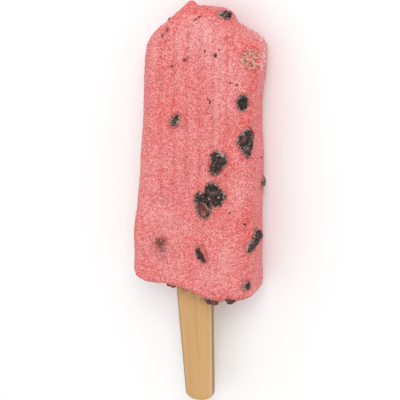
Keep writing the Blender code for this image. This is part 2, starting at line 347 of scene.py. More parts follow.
class Graph:
    """Lays out the nodes of one material, with coats of colour laid one over another."""

    def __init__(self, name: str, ground: Colour) -> None:
        """Starts a material that has one Principled shader.

        Args:
            name: The material's name.
            ground: The colour that everything else is laid over.
        """
        self.material = bpy.data.materials.new(name)
        self.material.use_nodes = True
        self.tree = self.material.node_tree
        self.shader = self.tree.nodes["Principled BSDF"]
        self.place = add_node(self.tree, "ShaderNodeTexCoord", "Object", {})
        self.colour: Socket | Colour = ground

    def attribute(self, name: str) -> Socket:
        """Reads a strength that was painted on the mesh."""
        return add_node(self.tree, "ShaderNodeAttribute", "Fac", {}, attribute_name=name)

    def stretched(self, scale: Place, turn: float = 0.0) -> Socket:
        """The object's own coordinates, stretched along each axis and turned by so many radians about Z."""
        inputs = {"Vector": self.place, "Rotation": (0.0, 0.0, turn), "Scale": scale}
        return add_node(self.tree, "ShaderNodeMapping", "Vector", inputs, vector_type="TEXTURE")

    def noise(
        self, scale: float, detail: float = 2.0, rough: float = 0.55, at: Socket | None = None
    ) -> Socket:
        """Adds a noise pattern.

        Args:
            scale: Lumps in a metre.
            detail: Finer layers.
            rough: How strong the finer layers are.
            at: Coordinates to use in place of the object's own.

        Returns:
            Its value, from 0 to 1.
        """
        inputs = {"Vector": at or self.place, "Scale": scale, "Detail": detail, "Roughness": rough}
        return add_node(self.tree, "ShaderNodeTexNoise", "Fac", inputs)

    def remap(self, value: Socket, source: Span, target: Span = (0.0, 1.0)) -> Socket:
        """Maps one range of a value onto another, smoothly.

        Args:
            value: What is mapped.
            source: The range it is read over.
            target: The range it is mapped to.

        Returns:
            The mapped value.
        """
        inputs = {"Value": value, "From Min": source[0], "From Max": source[1]}
        inputs |= {"To Min": target[0], "To Max": target[1]}
        return add_node(self.tree, "ShaderNodeMapRange", "Result", inputs, interpolation_type="SMOOTHSTEP")

    def times(self, first: Socket, second: Socket | float) -> Socket:
        """Multiplies two values."""
        return add_node(self.tree, "ShaderNodeMath", "Value", {0: first, 1: second}, operation="MULTIPLY")

    def plus(self, first: Socket, second: Socket | float) -> Socket:
        """Adds two values."""
        return add_node(self.tree, "ShaderNodeMath", "Value", {0: first, 1: second}, operation="ADD")

    def coat(self, share: Socket, colour: Colour) -> None:
        """Lays a colour over what is there.

        Args:
            share: How much of it shows.
            colour: The colour.
        """
        under = (*self.colour, 1.0) if isinstance(self.colour, tuple) else self.colour
        inputs = {"Factor": share, 6: under, 7: (*colour, 1.0)}
        self.colour = add_node(self.tree, "ShaderNodeMix", 2, inputs, data_type="RGBA")

    def shade(self, value: Socket, saturation: Socket) -> None:
        """Multiplies the colour's brightness and its saturation."""
        inputs = {"Color": self.colour, "Value": value, "Saturation": saturation}
        self.colour = add_node(self.tree, "ShaderNodeHueSaturation", "Color", inputs)

    def bump(self, height: Socket, distance: float, strength: float, **under: Socket) -> Socket:
        """Turns a value into a fine relief.

        Args:
            height: The relief.
            distance: Its depth in metres.
            strength: Its strength.
            **under: As Normal, a relief that this one lies on.

        Returns:
            The bent surface direction.
        """
        inputs = {"Distance": distance, "Strength": strength, "Height": height, **under}
        return add_node(self.tree, "ShaderNodeBump", "Normal", inputs)

    def finish(self, **values: Socket | float | Colour) -> Material:
        """Feeds the colour and more to the shader.

        Args:
            **values: What its other inputs get, with an underscore for each space in a name.

        Returns:
            The finished material.
        """
        colour = (*self.colour, 1.0) if isinstance(self.colour, tuple) else self.colour
        named = {name.replace("_", " "): value for name, value in values.items()}
        feed(self.tree, self.shader, {"Base Color": colour, **named})
        return self.material


@dataclass(frozen=True)
class IceFinish:
    """Frozen fruit cream: pink, redder where juice has run, paler where frost has set, and grainy, with
    painted shade in its flutes, pits and torn pocket, round its berries and along its base and sides.
    """

    name: str = "pink_ice"
    pink: Colour = (0.745, 0.178, 0.172)
    # Juice red, also used for painted shade in the flutes, along the base and sides and round the berries.
    juice_and_shade: Colour = (0.745, 0.130, 0.117)
    pale: Colour = (0.790, 0.340, 0.335)
    # Dark brown of bruises under the ice, also used for painted shade.
    bruise_and_shade: Colour = (0.150, 0.075, 0.062)
    cell: Colour = (0.520, 0.062, 0.052)
    glitter: Colour = (0.900, 0.560, 0.540)
    grains: float = 1900.0
    streak: Place = (0.0010, 0.0060, 0.0010)
    brightness: Span = (0.82, 1.13)
    saturation: Span = (1.10, 0.84)
    lump_depth: float = 0.00022
    grain_depth: float = 0.00012

    def build(self) -> Material:
        """Makes the material.

        Returns:
            The finished material.
        """
        graph = Graph(self.name, self.pink)
        clouds = graph.noise(150.0, 3.0)
        fine = graph.noise(self.grains, 2.0, 0.65)
        coarse = graph.noise(760.0, 2.0, 0.6)
        streaks = graph.noise(1.0, 3.0, 0.6, graph.stretched(self.streak))
        graph.coat(graph.remap(clouds, (0.42, 0.66), (0.0, 0.25)), self.pale)
        graph.coat(graph.remap(streaks, (0.50, 0.74), (0.0, 0.32)), self.juice_and_shade)
        graph.coat(graph.attribute("pale"), self.pale)
        # Juice stains and runs, and painted shade in the flutes, along the base and side faces and round the
        # berries.
        graph.coat(graph.attribute("juice_and_shade"), self.juice_and_shade)
        grain = graph.plus(graph.times(fine, 0.78), graph.times(coarse, 0.22))
        graph.shade(*(graph.remap(grain, (0.40, 0.61), span) for span in (self.brightness, self.saturation)))
        graph.coat(graph.remap(graph.noise(1250.0, 1.0), (0.62, 0.72), (0.0, 0.50)), self.cell)
        graph.coat(graph.remap(graph.noise(1530.0, 1.0), (0.63, 0.74), (0.0, 0.60)), self.glitter)
        patchy = graph.remap(graph.noise(900.0, 2.0), (0.34, 0.60), (0.25, 1.0))
        # Brown bruises where berries lie under the ice, and painted shade in pits, flutes and the torn
        # pocket, round the berries and along the base, with a painted shadow under the pocket.
        graph.coat(graph.times(graph.attribute("bruise_and_shade"), patchy), self.bruise_and_shade)
        lumps = graph.bump(graph.noise(620.0, 3.0), self.lump_depth, 0.60)
        return graph.finish(
            Roughness=graph.remap(fine, (0.3, 0.7), (0.62, 0.40)),
            Normal=graph.bump(fine, self.grain_depth, 0.70, Normal=lumps),
            Subsurface_Weight=0.18,
            Subsurface_Scale=0.0008,
            Subsurface_Radius=(1.0, 0.35, 0.30),
            Specular_IOR_Level=0.35,
        )


@dataclass(frozen=True)
class BerryFinish:
    """Dark wrinkled skin: taupe, with frost on its ridges, a red film where the ice holds it, painted shade
    in its folds and painted glints.
    """

    name: str = "berry_skin"
    dark: Colour = (0.014, 0.006, 0.006)
    taupe: Colour = (0.088, 0.044, 0.038)
    frost: Colour = (0.46, 0.32, 0.29)
    film: Colour = (0.60, 0.140, 0.125)
    flesh: Colour = (0.165, 0.036, 0.025)
    # Pale: the husk's broken rim, and painted glints.
    rim: Colour = (0.62, 0.36, 0.31)
    black: Colour = (0.006, 0.004, 0.005)

    def build(self) -> Material:
        """Makes the material.

        Returns:
            The finished material.
        """
        graph = Graph(self.name, self.dark)
        mottle = graph.noise(480.0, 3.0, 0.65)
        fine = graph.noise(1700.0, 2.0, 0.6)
        graph.coat(graph.remap(mottle, (0.40, 0.66)), self.taupe)
        # Painted shade in the folds of the wrinkles.
        graph.coat(graph.times(graph.attribute("fold_shade"), 0.8), self.dark)
        flecks = graph.plus(graph.times(mottle, 0.40), graph.times(fine, 0.60))
        flecks = graph.plus(flecks, graph.times(graph.attribute("edge"), 0.12))
        graph.coat(graph.remap(flecks, (0.560, 0.65), (0.0, 0.90)), self.frost)
        gloss = graph.attribute("gloss")
        graph.coat(gloss, self.black)
        graph.coat(graph.attribute("flesh"), self.flesh)
        # The husk's pale rim, and painted glints from the berries' glint spots.
        graph.coat(graph.attribute("rim"), self.rim)
        ragged = graph.plus(graph.attribute("film"), graph.times(graph.plus(fine, -0.5), 0.9))
        graph.coat(graph.remap(ragged, (0.30, 0.75), (0.0, 0.92)), self.film)
        rough = graph.plus(graph.remap(mottle, (0.35, 0.65), (0.32, 0.60)), graph.times(gloss, -0.25))
        return graph.finish(Roughness=rough, Normal=graph.bump(fine, 0.00016, 0.6), Specular_IOR_Level=0.30)


@dataclass(frozen=True)
class CrystalFinish:
    """Loose ice crystals and frost grains."""

    name: str
    body: Colour
    shade: Colour
    roughness: float = 0.35

    def build(self) -> Material:
        """Makes the material.

        Returns:
            The finished material.
        """
        graph = Graph(self.name, self.body)
        graph.coat(graph.remap(graph.noise(700.0, 2.0), (0.35, 0.65)), self.shade)
        return graph.finish(Roughness=self.roughness, Subsurface_Weight=0.3, Subsurface_Scale=0.0006)


@dataclass(frozen=True)
class SkinFinish:
    """Torn berry skins and pips: dark red to brown."""

    name: str = "loose_skin"
    dark: Colour = (0.080, 0.013, 0.010)
    red: Colour = (0.300, 0.050, 0.038)

    def build(self) -> Material:
        """Makes the material.

        Returns:
            The finished material.
        """
        graph = Graph(self.name, self.dark)
        graph.coat(graph.remap(graph.noise(800.0), (0.38, 0.62)), self.red)
        return graph.finish(Roughness=0.42, Specular_IOR_Level=0.25)


@dataclass(frozen=True)
class StickFinish:
    """Bare pale wood with a grain along it, stained and darkened with painted shadow where it enters the
    ice, with painted shade on its side faces and a painted highlight along its right front edge.
    """

    name: str = "stick_wood"
    pale: Colour = (0.620, 0.366, 0.154)
    grain: Colour = (0.490, 0.282, 0.112)
    # Juice stain where the stick enters the ice, also used as painted shadow under the slab.
    stain: Colour = (0.260, 0.100, 0.055)
    # Painted highlight along the edge between the front and the right side.
    edge_highlight: Colour = (0.740, 0.500, 0.270)
    # Painted shade on the side faces.
    side: Colour = (0.345, 0.222, 0.115)
    lean: float = math.radians(4.0)
    band: Place = (0.0016, 0.050, 0.0030)
    fibre: Place = (0.00035, 0.009, 0.00050)

    def build(self) -> Material:
        """Makes the material.

        Returns:
            The finished material.
        """
        graph = Graph(self.name, self.pale)
        bands = graph.noise(1.0, 4.0, 0.6, graph.stretched(self.band, self.lean))
        fibres = graph.noise(1.0, 3.0, 0.7, graph.stretched(self.fibre, self.lean))
        graph.coat(graph.remap(bands, (0.40, 0.68), (0.0, 0.55)), self.grain)
        graph.coat(graph.remap(fibres, (0.54, 0.74), (0.0, 0.60)), self.grain)
        # Painted shade on the side faces, more on the left.
        graph.coat(graph.attribute("side"), self.side)
        # Painted highlight along the right front edge.
        graph.coat(graph.attribute("edge_highlight"), self.edge_highlight)
        patchy = graph.remap(graph.noise(420.0, 3.0, 0.65), (0.38, 0.58), (0.25, 1.0))
        # Stain and painted shadow where the stick enters the ice.
        graph.coat(graph.times(graph.attribute("stain"), patchy), self.stain)
        return graph.finish(
            Roughness=graph.remap(fibres, (0.3, 0.7), (0.48, 0.66)),
            Normal=graph.bump(fibres, 0.00010, 0.45),
            Specular_IOR_Level=0.35,
        )


@dataclass(frozen=True)
class FloorFinish:
    """A plain pale floor."""

    colour: Colour = (0.93, 0.93, 0.93)

    def build(self) -> Material:
        """Makes the material.

        Returns:
            The finished material.
        """
        return Graph("pale_floor", self.colour).finish(Roughness=0.9, Specular_IOR_Level=0.1)


# ---- the slab of ice
class Station(NamedTuple):
    """One cross section of the slab, as in the solid: its place, its reach each way and its corners."""

    y: float
    left: float
    right: float
    back: float
    front: float
    corner: float


STATIONS = (  # in millimetres
    Station(-51.0, 23.1, 22.2, 0.0, 22.8, 6.0),
    Station(-39.0, 22.9, 21.4, 0.0, 22.6, 6.3),
    Station(-26.0, 22.7, 21.2, 0.0, 22.3, 6.5),
    Station(-11.0, 21.6, 21.2, 0.0, 21.9, 6.6),
    Station(4.0, 20.6, 20.4, 0.0, 21.5, 6.6),
    Station(18.0, 20.3, 19.8, 0.0, 21.1, 6.5),
    Station(27.5, 20.3, 20.4, 0.0, 20.6, 6.5),
    Station(34.0, 20.1, 20.7, 0.1, 20.2, 6.5),
    Station(38.0, 19.3, 20.6, 0.5, 19.8, 6.3),
    Station(41.0, 17.5, 18.6, 1.3, 19.2, 5.9),
    Station(43.4, 15.2, 14.1, 2.4, 18.5, 5.5),
    Station(45.2, 12.9, 11.0, 3.5, 17.9, 5.1),
    Station(47.0, 11.3, 10.1, 4.3, 17.1, 4.7),
    Station(48.7, 9.7, 9.0, 5.2, 16.1, 4.2),
    Station(49.8, 7.8, 7.1, 6.4, 14.6, 3.2),
)


class Stain(NamedTuple):
    """A soft spot of colour: its middle and how wide it is, in millimetres, and how strong."""

    at: Place
    spread: float
    strength: float


def stained(points: Array, stains: tuple[Stain, ...]) -> Array:
    """Adds stains up.

    Args:
        points: Places, one a row.
        stains: The stains.

    Returns:
        How strong they are together at each place.
    """
    total = np.zeros(len(points))
    for stain in stains:
        total += stain.strength * spot(points / MM, stain.at, stain.spread)
    return total


@dataclass
class IceSlab:
    """The fluted slab with its shoulders, cap, pulled tip and torn pocket."""

    finish: IceFinish = field(default_factory=IceFinish)
    base_y: float = -0.0510
    tip_y: float = 0.0498
    corner_left: float = 0.0056
    corner_right: float = 0.0038
    base_edge: float = 0.0032
    ring_gap: float = 0.00043
    flute_count: int = 6
    flute_pitch: float = 0.0047
    flute_slant: float = 0.030
    flute_depth: float = 0.00050
    flute_half_width: float = 0.00055
    flute_start_y: float = -0.0150
    flute_end_y: float = 0.0440
    peak_at: Place = (-0.0057, 0.0500, 0.0090)
    peak_rise: float = 0.0021
    pocket_at: Place = (0.0184, 0.0353, 0.0185)
    pocket_radius: float = 0.0036
    # Where a painted shadow falls under the torn pocket.
    shadow_under_pocket: Place = (0.0186, 0.0318, 0.0185)
    rime_start: Place = (0.0172, 0.0412, 0.0070)
    rime_end: Place = (0.0207, 0.0330, 0.0120)
    pit_count: int = 200
    pit_depth: float = 0.00045
    least_corner: float = 0.0030
    cap_rings: int = 16
    front_steps: int = 108
    front_turn_steps: int = 24
    side_steps: int = 18
    back_turn_steps: int = 14
    back_steps: int = 62
    base_step: float = 0.0025
    base_swell: float = 0.0019
    swell_depth: float = 0.00042
    lump_depth: float = 0.00020
    grain_depth: float = 0.00020
    crown_height: float = 0.00006
    pocket_depth: float = 0.0008
    lip_height: float = 0.00035
    dip_depth: float = 0.00050
    socket_depth: float = 0.0022
    # Listed red patches of juice; the layer they feed also carries painted shade.
    juice_and_shade: tuple[Stain, ...] = (
        Stain((17.0, 40.0, 18.5), 5.0, 0.80), Stain((12.5, 42.5, 19.0), 4.5, 0.45),
        Stain((20.0, 29.0, 16.0), 4.0, 0.50), Stain((17.0, 13.0, 20.0), 3.8, 1.00),
        Stain((19.6, -20.5, 19.5), 5.0, 1.00), Stain((18.5, -27.0, 20.5), 5.0, 0.55),
        Stain((17.0, -40.0, 21.5), 6.0, 0.40), Stain((9.0, -48.0, 21.5), 5.0, 0.35),
        Stain((-19.0, -47.0, 20.0), 6.0, 0.50), Stain((-12.0, 14.0, 21.0), 5.0, 0.45),
        Stain((-8.0, 36.0, 20.0), 7.0, 0.30), Stain((-15.0, 30.0, 20.0), 6.0, 0.30),
        Stain((-1.0, 28.0, 20.6), 5.0, 0.25), Stain((12.2, -1.2, 21.2), 4.2, 0.80),
        Stain((6.0, -24.0, 22.0), 5.0, 0.40), Stain((4.0, -30.0, 22.2), 3.0, 0.40),
        Stain((-8.0, 45.5, 16.0), 4.0, 0.40),
    )
    pale: tuple[Stain, ...] = (
        Stain((0.5, 42.0, 18.8), 8.0, 0.85), Stain((11.0, 23.0, 20.5), 6.0, 0.45),
        Stain((10.0, 33.0, 20.0), 6.0, 0.55), Stain((18.0, -8.0, 20.5), 6.0, 0.40),
        Stain((8.0, -42.0, 22.2), 6.0, 0.45), Stain((-17.0, -6.0, 21.0), 6.0, 0.25),
        Stain((-10.0, -25.0, 22.2), 9.0, 0.25),
    )
    # Brown smudges where berries lie under the ice; the layer they feed also carries painted shade.
    bruise_and_shade: tuple[Stain, ...] = (
        Stain((-11.1, -32.2, 22.6), 2.5, 1.00), Stain((-11.2, -37.2, 22.6), 2.2, 0.55),
        Stain((-11.2, -34.5, 22.6), 1.8, 0.45), Stain((-9.7, -15.4, 22.1), 1.3, 0.50),
        Stain((4.0, -33.0, 22.4), 2.2, 0.45), Stain((-11.2, 42.5, 18.0), 1.0, 0.50),
        Stain((-12.4, 41.0, 18.5), 0.9, 0.40), Stain((-6.0, 13.0, 21.3), 2.4, 0.35),
    )

    def section(self, y: float) -> Station:
        """The slab's reach at one place, on a smooth curve through the stations and rounded in at the base.

        Args:
            y: How far along the slab.

        Returns:
            The cross section there, in metres.
        """
        table = np.array(STATIONS) * MM
        last = len(table) - 2
        i = int(np.clip(np.searchsorted(table[:, 0], y, side="right") - 1, 0, last))
        before, after = table[i], table[i + 1]
        earlier, later = table[max(i - 1, 0)], table[min(i + 2, last + 1)]
        gap = after[0] - before[0]
        t = float(np.clip((y - before[0]) / gap, 0.0, 1.0))
        leaving = (after - earlier) / (after[0] - earlier[0]) * gap
        arriving = (later - before) / (later[0] - before[0]) * gap
        values = (2 * t**3 - 3 * t**2 + 1) * before + (t**3 - 2 * t**2 + t) * leaving
        values = values + (3 * t**2 - 2 * t**3) * after + (t**3 - t**2) * arriving
        height = y - self.base_y
        deep = self.arc_inset(height, self.base_edge)
        left = values[1] - self.arc_inset(height, self.corner_left)
        right = values[2] - self.arc_inset(height, self.corner_right)
        corner = max(values[5] - deep, self.least_corner)
        return Station(y, left, right, values[3] + deep, values[4] - deep, corner)

    @staticmethod
    def arc_inset(distance: float, radius: float) -> float:
        """How far a rounded edge has drawn in at a distance from its face."""
        return radius - math.sqrt(radius**2 - max(radius - distance, 0.0) ** 2)

    def outline(self, station: Station) -> Array:
        """The closed outline of one section, clockwise from the front's left end, closest set on the front.

        Args:
            station: The section.

        Returns:
            Its (x, z) points, the same number for every section.
        """
        _, left, right, back, front, corner = station
        radius = min(corner, (front - back) / 2 - 0.0002)
        low, high = back + radius, front - radius

        def run(start: Span, end: Span, count: int) -> Array:
            """Evenly spaced points from start, short of end."""
            t = np.arange(count)[:, None] / count
            return np.array(start) * (1 - t) + np.array(end) * t

        def turn(centre: Span, start: float, count: int) -> Array:
            """A clockwise quarter turn from a start angle in degrees, short of its end."""
            angles = np.radians(start - 90 * np.arange(count) / count)
            return np.array(centre) + radius * np.stack([np.cos(angles), np.sin(angles)], axis=1)

        parts = [
            run((radius - left, front), (right - radius, front), self.front_steps),
            turn((right - radius, high), 90, self.front_turn_steps),
            run((right, high), (right, low), self.side_steps),
            turn((right - radius, low), 0, self.back_turn_steps),
            run((right - radius, back), (radius - left, back), self.back_steps),
            turn((radius - left, low), -90, self.back_turn_steps),
            run((-left, low), (-left, high), self.side_steps),
            turn((radius - left, high), 180, self.front_turn_steps),
        ]
        return np.concatenate(parts)

    def ring_places(self) -> list[tuple[float, float, float]]:
        """Plans the rings from base to tip.

        Returns:
            For each ring, the section it copies, where it is drawn, and its share of the full outline.
        """
        shares = np.sin(np.linspace(0.04, 1.0, self.cap_rings, endpoint=False) * math.pi / 2)
        base = [(self.base_y, self.base_y - 0.0005 * (1 - s**2), s) for s in shares]
        turns = math.pi / 2 * np.arange(self.cap_rings) / self.cap_rings
        rounding = [self.base_y + self.corner_left * (1 - math.cos(angle)) for angle in turns]
        straight = np.arange(self.base_y + self.corner_left, self.tip_y, self.ring_gap)
        sides = [(y, y, 1.0) for y in [*rounding, *straight, self.tip_y]]
        tip = [(self.tip_y, self.tip_y + 0.0008 * (1 - s**2), s) for s in shares[::-1]]
        return base + sides + tip

    def base_shift(self, points: Array) -> Array:
        """Shapes the base: a step left of the stick and a swell right of it.

        Args:
            points: The slab's points.

        Returns:
            How far each point moves along Y.
        """
        x, y, _ = points.T
        step = self.base_step * (1 - ease(-0.006, 0.008, x))
        swell = self.base_swell * bell(x, 0.0086, 0.0034)
        return np.clip(1 - (y - self.base_y) / 0.012, 0.0, 1.0) * (step - swell)

    def peak_shift(self, points: Array) -> Array:
        """Shapes the pulled tip: a slow rise from the left, then a drop.

        Args:
            points: The slab's points.

        Returns:
            How far each point moves along Y.
        """
        (x, y, z), (px, py, pz) = self.peak_at, points.T
        rise = ease(x - 0.0052, x, px) * (1 - ease(x, x + 0.0026, px))
        return self.peak_rise * rise**1.4 * bell(pz, z, 0.0032) * ease(y - 0.006, y, py)

    def plain_skin(self) -> Mesh:
        """Lofts the slab without its relief.

        Returns:
            One closed mesh.
        """
        rings = []
        for source, drawn, share in self.ring_places():
            flat = self.outline(self.section(source))
            middle = (flat.max(0) + flat.min(0)) / 2
            flat = middle + (flat - middle) * share
            rings.append(np.stack([flat[:, 0], np.full(len(flat), drawn), flat[:, 1]], axis=1))
        count, around = len(rings), len(rings[0])
        points = np.concatenate([*rings, [rings[0].mean(0)], [rings[-1].mean(0)]])
        points[:, 1] += self.base_shift(points) + self.peak_shift(points)
        grid = np.arange(count * around).reshape(count, around)
        following = np.roll(grid, -1, axis=1)
        quads = np.stack([grid[:-1], following[:-1], following[1:], grid[1:]], axis=-1)
        quads = quads.reshape(-1, 4).tolist()
        start, end = count * around, count * around + 1
        quads += [(start, int(b), int(a)) for a, b in zip(grid[0], following[0])]
        quads += [(int(a), int(b), end) for a, b in zip(grid[-1], following[-1])]
        mesh = bpy.data.meshes.new("ice")
        mesh.from_pydata(points.tolist(), [], quads)
        mesh.update()
        return mesh

    def flute_share(self, points: Array, normals: Array) -> Array:
        """Finds the flutes.

        Args:
            points: The slab's points.
            normals: Their directions.

        Returns:
            How deep in a flute each point is, from 0 on the ribs to 1 along the middle of a flute.
        """
        y = points[:, 1]
        across = points[:, 0] + self.flute_slant * y + 0.00022 * lattice(drawn_out(points, 0.25), 500.0, 61)
        half = self.flute_count / 2
        k = np.clip(np.round(across / self.flute_pitch + 0.5), 1 - half, half)
        gap = np.abs(across - (k - 0.5) * self.flute_pitch)
        along = ease(self.flute_start_y - 0.005, self.flute_start_y + 0.004, y)
        along = along * (1 - ease(self.flute_end_y - 0.002, self.flute_end_y + 0.004, y))
        return bell(gap, 0.0, self.flute_half_width) * along * ease(0.75, 0.95, np.abs(normals[:, 2]))

    def pits(self, points: Array) -> Array:
        """Finds the small pits, which are the same on every run.

        Args:
            points: The slab's points.

        Returns:
            How deep in a pit each point is, from 0 to about 1.
        """
        depth = np.zeros(len(points))
        chosen = np.random.default_rng(7).integers(0, len(points), self.pit_count)
        for number, middle in enumerate(points[chosen]):
            near = np.abs(points - middle).max(1) < 0.0016
            depth[near] += spot(points[near], tuple(middle), 0.00032 + 0.00006 * (number % 5))
        return depth

    def relief(self, points: Array, normals: Array, gaps: Array) -> Array:
        """How far each point of the skin stands out.

        Args:
            points: The plain skin's points.
            normals: Its directions.
            gaps: How far each point is outside the nearest berry.

        Returns:
            Distances in metres, negative inwards.
        """
        x, y, z = points.T
        above_back = ease(0.0015, 0.0070, z)
        rise = self.swell_depth * above_back * lattice(points, 95.0, 11)
        rise += self.lump_depth * above_back * layered(points, 330.0, 21, 2)
        rise += self.grain_depth * (0.3 + 0.7 * above_back) * layered(points, 900.0, 31, 2)
        rise -= self.flute_depth * self.flute_share(points, normals)
        across = (x + self.flute_slant * y) / self.flute_pitch
        crown = np.cos(2 * np.pi * across) * ease(self.flute_start_y, 0.0, y)
        rise += self.crown_height * crown * ease(0.9, 1.0, normals[:, 2]) * (np.abs(across) < 3)
        pocket = np.linalg.norm(points - np.array(self.pocket_at), axis=1)
        torn = 1 - ease(self.pocket_radius * 0.6, self.pocket_radius * 1.3, pocket)
        rise += torn * self.pocket_depth * (layered(points, 800.0, 41, 2) - 1)
        rough = 0.5 + 0.5 * lattice(points, 800.0, 51)
        rise += rough * self.lip_height * bell(gaps, 0.0006, 0.0005)
        rise -= self.dip_depth * (1 - ease(-0.0006, 0.0001, gaps))
        rise -= self.socket_depth * (1 - ease(-0.0020, -0.0007, gaps))
        return rise - self.pit_depth * self.pits(points)

    def build(self, berries: list["Berry"]) -> Piece:
        """Makes the slab.

        Args:
            berries: What the ice has set round.

        Returns:
            The finished piece.
        """
        mesh = self.plain_skin()
        points, normals = points_of(mesh), normals_of(mesh)
        skin = tree_of(mesh)
        for berry in berries:
            berry.form_in(skin)
        gaps = np.min([berry.gap(points) for berry in berries], axis=0)
        moved = points + normals * self.relief(points, normals, gaps)[:, None]
        moved[:, 2] = np.maximum(moved[:, 2], 0.0)
        write_points(mesh, moved)
        self.colour(mesh, moved, normals, gaps)
        piece = place("ice", mesh, self.finish.build())
        keep(piece, "pink_ice", "ice_body")
        return piece

    def colour(self, mesh: Mesh, points: Array, normals: Array, gaps: Array) -> None:
        """Paints where juice, pale frost, bruises and loose frost lie, and painted shade: round the berries,
        in the flutes, pits and torn pocket, under the pocket, on the side faces and along the base.

        Args:
            mesh: The slab's mesh.
            points: Its points.
            normals: Its directions.
            gaps: How far each point is outside the nearest berry.
        """
        _, y, z = points.T
        to_side, to_tip, _ = normals.T
        ragged = 0.75 + 0.6 * layered(points, 260.0, 71)
        low_rim = 1 - ease(0.0002, 0.0034, y - self.base_y - self.base_shift(points))
        fluted = self.flute_share(points, normals)
        pocket = np.linalg.norm(points - np.array(self.pocket_at), axis=1)
        torn = 1 - ease(self.pocket_radius * 0.75, self.pocket_radius * 1.15, pocket)
        torn = torn * ease(-0.4, 0.3, layered(points, 700.0, 73))

        # Redder round each berry: juice run from it, and painted shadow where it meets the ice.
        juice_and_shade = stained(points, self.juice_and_shade) + 0.75 * np.exp(-np.maximum(gaps, 0.0) / 0.0011)
        # Redder on the top face at the tip; painted shade on faces turned to the base.
        juice_and_shade += 1.30 * ease(0.40, 0.80, to_tip) * ease(0.044, 0.0475, y) + 0.70 * ease(0.15, 0.60, -to_tip)
        juice_and_shade += 0.35 * ease(0.12, 0.55, layered(drawn_out(points, 0.22), 280.0, 79))
        # Painted shade on the side faces, fading out towards the base, and along the base rim.
        juice_and_shade += 0.60 * ease(0.5, 0.95, np.abs(to_side)) * ease(-0.051, -0.03, y) + 1.10 * low_rim
        # Painted shade in the flutes.
        juice_and_shade += 0.55 * fluted * (0.5 + lattice(drawn_out(points, 0.3), 300.0, 75))
        juice_and_shade += 0.4 * bell(pocket, self.pocket_radius, 0.0012)
        pale = 1.15 * stained(points, self.pale) * ragged
        pale += 0.45 * ease(0.12, 0.55, layered(drawn_out(points, 0.22), 260.0, 77))
        # Painted shade: a dark ring where each berry meets the ice, and between the crystals of the torn
        # pocket.
        bruise_and_shade = stained(points, self.bruise_and_shade) * ragged + 0.45 * bell(gaps, 0.0001, 0.00022) + 0.60 * torn
        # Painted shadow under the pocket; painted shade along the base rim.
        bruise_and_shade += 0.35 * spot(points, self.shadow_under_pocket, 0.0016) + 0.22 * low_rim
        # Painted shade in the bottom of the flutes and in the pits.
        bruise_and_shade += 0.12 * fluted**3 * ease(-0.4, 0.4, lattice(points, 250.0, 87))
        bruise_and_shade += 0.35 * self.pits(points) * (z > 0.004)
        frost = 0.35 + 0.65 * ease(-0.1, 0.5, layered(points, 220.0, 81))
        rime = strip(points, self.rime_start, self.rime_end, 0.0019)
        collar = bell(gaps, 0.0003, 0.0005) * (z > BARE_BELOW)

        paint(mesh, "juice_and_shade", juice_and_shade * ragged)
        paint(mesh, "pale", pale)
        paint(mesh, "bruise_and_shade", bruise_and_shade)
        paint(mesh, "frost", frost * ease(0.0012, 0.003, z))
        paint(mesh, "torn", torn)
        paint(mesh, "rime", rime * (1 - torn) * ease(-0.4, 0.3, layered(points, 500.0, 83)))
        paint(mesh, "collar", collar * ease(-0.3, 0.3, lattice(points, 600.0, 85)))


# ---- the berries
class BerryLook(Enum):
    """How a berry's skin has frozen."""

    WRINKLED = "wrinkled"
    SMOOTH_TOP = "smooth_top"
    HUSK = "husk"
    FLAKE = "flake"


class Lobe(NamedTuple):
    """A bulge of a berry: which way it points, how far it reaches and how narrow it is."""

    way: Place
    reach: float
    sharpness: float = 6.0


@dataclass(frozen=True)
class BerryForm:
    """How a berry differs from a plain ball."""

    look: BerryLook = BerryLook.WRINKLED
    stretch: Place = (1.0, 1.0, 1.0)
    shift: Place = (0.0, 0.0, 0.0)
    lobes: tuple[Lobe, ...] = ()
    veil: Place = (0.0, 0.0, 0.0)
    film: float = 0.0
    frost: float = 0.0
    gloss: tuple[Stain, ...] = ()
    glint: tuple[Stain, ...] = ()


